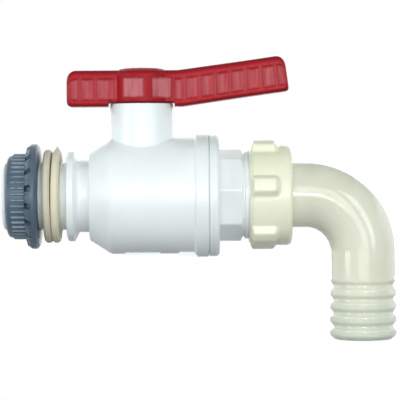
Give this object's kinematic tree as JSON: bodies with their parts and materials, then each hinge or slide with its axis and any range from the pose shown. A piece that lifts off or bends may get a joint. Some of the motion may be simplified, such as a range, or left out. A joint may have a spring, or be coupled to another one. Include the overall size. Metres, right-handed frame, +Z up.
{
  "type": "ball valve",
  "caption": "Plastic quarter-turn ball valve with a red lever, a threaded tank connector with nut and washers, and a union with a bent hose tail.",
  "frame": {"origin": "centre of the tank connector's sealing face, on the pipe axis", "axes": "+X along the pipe from the tank towards the outlet, +Z up the stem to the lever; the hose tail hangs down along -Z"},
  "size_m": [0.243, 0.0762, 0.1753],
  "materials": {
    "white_pvc": "moulded, semi-gloss",
    "grey_pvc": "moulded, semi-gloss",
    "gum_rubber": "moulded, matt",
    "black_rubber": "moulded, matt",
    "ptfe": "turned, waxy",
    "red_abs": "moulded, glossy",
    "stainless": "bright",
    "natural_nylon": "moulded, glossy, slightly translucent"
  },
  "bodies": {
    "valve": {"tank_tail": "white_pvc", "tail_seal_ring": "black_rubber", "valve_body": "white_pvc", "end_connector": "white_pvc", "body_seal_ring": "black_rubber", "inlet_seat": "ptfe", "outlet_seat": "ptfe", "inlet_cushion": "black_rubber", "outlet_cushion": "black_rubber"},
    "wall_washer": {"wall_washer": "gum_rubber"},
    "nut_washer": {"nut_washer": "gum_rubber"},
    "tank_nut": {"tank_nut": "grey_pvc"},
    "ball": {"ball": "white_pvc"},
    "lever": {"lever": "red_abs", "lever_cap": "red_abs", "lever_screw": "stainless", "lever_screw_washer": "stainless", "stem": "white_pvc", "stem_seal_lower": "black_rubber", "stem_seal_upper": "black_rubber", "thrust_washer": "ptfe"},
    "union_gasket": {"union_gasket": "black_rubber"},
    "union_nut": {"union_nut": "natural_nylon"},
    "hose_elbow": {"hose_elbow": "natural_nylon"}
  },
  "joints": [
    {"name": "lever_turn", "type": "hinge", "parent": "valve", "child": "lever", "pos_m": [0.04612, 0, 0.06], "axis": [0, 0, 1], "range_deg": [-90, 0]},
    {"name": "ball_turn", "type": "hinge", "parent": "valve", "child": "ball", "pos_m": [0.04612, 0, 0], "axis": [0, 0, 1], "range_deg": [-90, 0]},
    {"name": "wall_washer_slide", "type": "slide", "parent": "valve", "child": "wall_washer", "axis": [1, 0, 0], "range_m": [0, 0.0042]},
    {"name": "nut_travel", "type": "slide", "parent": "valve", "child": "nut_washer", "axis": [1, 0, 0], "range_m": [-0.0231, 0]},
    {"name": "nut_spin", "type": "hinge", "parent": "nut_washer", "child": "tank_nut", "pos_m": [-0.027, 0, 0], "axis": [1, 0, 0], "range_deg": [-3600, 0]},
    {"name": "union_travel", "type": "slide", "parent": "valve", "child": "union_gasket", "axis": [1, 0, 0], "range_m": [0, 0.01502]},
    {"name": "union_spin", "type": "hinge", "parent": "union_gasket", "child": "union_nut", "pos_m": [0.125, 0, 0], "axis": [1, 0, 0], "range_deg": [0, 2340]},
    {"name": "elbow_swivel", "type": "hinge", "parent": "union_gasket", "child": "hose_elbow", "pos_m": [0.131, 0, 0], "axis": [1, 0, 0], "continuous": true}
  ],
  "couplings": [
    {"joint": "ball_turn", "follows": "lever_turn", "ratio": 1},
    {"joint": "nut_travel", "follows": "nut_spin", "m_per_rad": 0.00036749},
    {"joint": "union_travel", "follows": "union_spin", "m_per_rad": 0.00036749}
  ]
}
